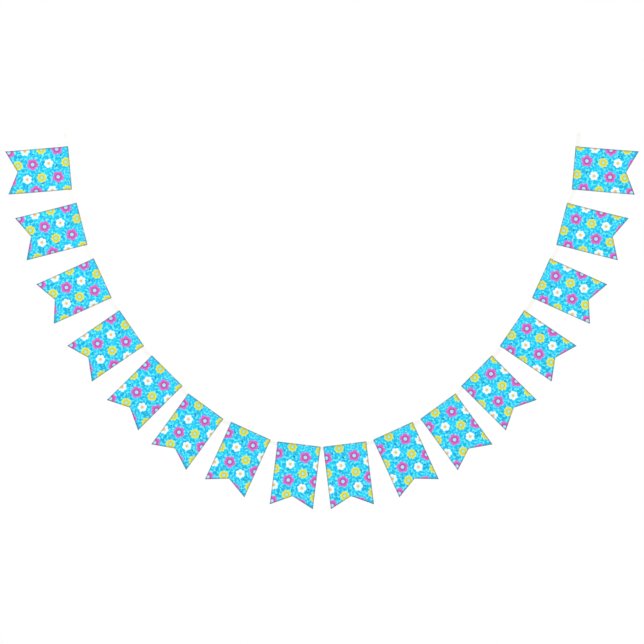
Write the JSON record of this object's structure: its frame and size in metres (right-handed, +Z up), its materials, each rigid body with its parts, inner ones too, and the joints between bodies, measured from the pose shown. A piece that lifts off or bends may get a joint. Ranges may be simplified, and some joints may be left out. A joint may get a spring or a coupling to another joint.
{
  "type": "fabric bunting",
  "caption": "String of swallowtail cloth flags with a bright print of small flowers on mottled turquoise, sewn to a narrow white tape and hung in a deep U.",
  "frame": {"origin": "middle of the tape's top edge, on the tape's back face", "axes": "+X across the swag to the right seen from the front, +Y back towards the wall, +Z up"},
  "size_m": [2.0486, 0.0233, 1.2195],
  "materials": {
    "flag_cloth": "matt printed plain weave, turquoise with pink, yellow and white flowers",
    "tape_cloth": "matt plain white woven tape"
  },
  "bodies": {
    "root": {"tape": "tape_cloth", "flag_01": "flag_cloth", "flag_02": "flag_cloth", "flag_03": "flag_cloth", "flag_04": "flag_cloth", "flag_05": "flag_cloth", "flag_06": "flag_cloth", "flag_07": "flag_cloth", "flag_08": "flag_cloth", "flag_09": "flag_cloth", "flag_10": "flag_cloth", "flag_11": "flag_cloth", "flag_12": "flag_cloth", "flag_13": "flag_cloth", "flag_14": "flag_cloth", "flag_15": "flag_cloth", "flag_16": "flag_cloth"}
  },
  "joints": []
}
